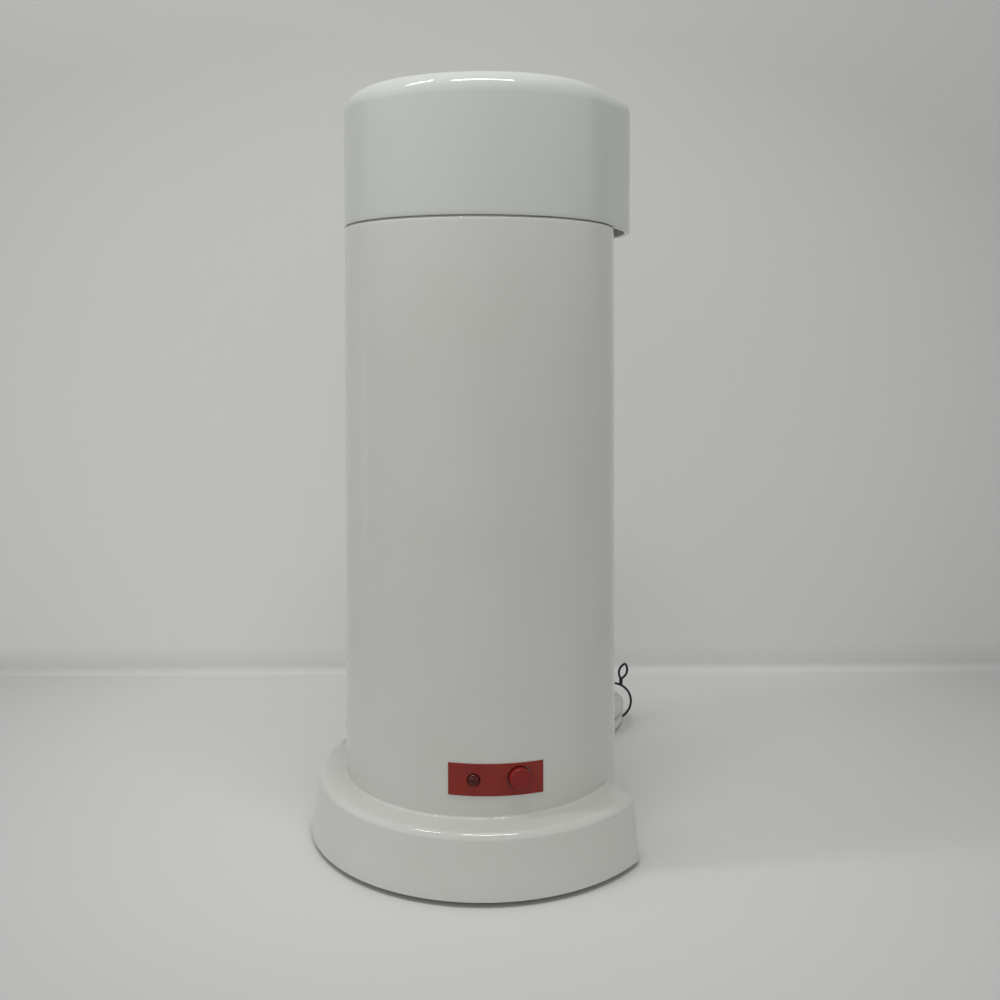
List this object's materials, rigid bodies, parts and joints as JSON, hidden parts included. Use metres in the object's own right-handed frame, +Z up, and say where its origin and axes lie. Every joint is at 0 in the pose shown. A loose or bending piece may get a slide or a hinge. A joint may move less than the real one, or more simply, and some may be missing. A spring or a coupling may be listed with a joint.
{
  "type": "electric iced tea maker",
  "caption": "Tall crescent tower with a flared foot ring, a red panel with lamp and push button, and a deep hinged cap that reaches over the place of a pitcher.",
  "frame": {"origin": "on the counter, under the middle of the machine without its cord", "axes": "+Z up; -Y the convex front of the tower; +Y the rear, where the pitcher stands; +X the side on which the panel lies"},
  "size_m": [0.1852, 0.2761, 0.3369],
  "materials": {
    "body_white": "moulded off-white, polished",
    "cap_white": "moulded cool white, polished",
    "panel_red": "smooth red, satin gloss",
    "lens_red": "clear dark red, polished",
    "natural_plastic": "natural, moulded",
    "dark_plastic": "dark grey, moulded",
    "plate_grey": "grey, moulded",
    "rubber": "matt black",
    "silicone": "translucent silicone",
    "steel": "plated",
    "aluminium": "bare, drawn",
    "heater_grey": "dull sheath",
    "ceramic": "white ceramic",
    "cord_white": "smooth flexible PVC",
    "wire_black": "black coating"
  },
  "bodies": {
    "base": {"tower_shell": "body_white", "base_housing": "body_white", "base_plate": "plate_grey", "rubber_feet": "rubber", "base_screws": "steel", "reservoir_tank": "natural_plastic", "tank_gasket": "rubber", "head_tray": "body_white", "tray_screws": "steel", "hinge_pin": "steel", "riser_tube": "natural_plastic", "spout_tube": "natural_plastic", "shower_head": "natural_plastic", "heater_tube": "aluminium", "heater_element": "heater_grey", "heater_brackets": "aluminium", "bracket_screws": "steel", "thermostat": "dark_plastic", "thermal_fuse": "ceramic", "upper_inlet_hose": "silicone", "lower_inlet_hose": "silicone", "outlet_hose": "silicone", "hose_clamps": "steel", "valve_body": "natural_plastic", "control_panel": "panel_red", "lamp_lens": "lens_red", "indicator_lamp": "ceramic", "button_spring": "steel", "switch_body": "dark_plastic", "lead_live": "wire_black", "lead_return": "cord_white", "lead_heater": "cord_white", "strain_relief": "cord_white", "cord_run": "cord_white", "cord_coil": "cord_white", "cord_tail": "cord_white", "plug_body": "cord_white", "plug_blades": "steel", "cord_tie": "wire_black"},
    "lid": {"cap": "cap_white"},
    "button": {"power_button": "panel_red", "switch_plunger": "dark_plastic"},
    "check_ball": {"valve_ball": "silicone"}
  },
  "joints": [
    {"name": "lid_hinge", "type": "hinge", "parent": "base", "child": "lid", "pos_m": [-0.0022, 0.0741, 0.2898], "axis": [-1, 0, 0], "range_deg": [0, 85]},
    {"name": "button_press", "type": "slide", "parent": "base", "child": "button", "axis": [-0.6259, 0.7799, 0], "range_m": [0, 0.0025], "stiffness_N_per_m": 400, "deforming": ["button_spring"]},
    {"name": "ball_lift", "type": "slide", "parent": "base", "child": "check_ball", "axis": [0, 0, 1], "range_m": [0, 0.0015]}
  ]
}
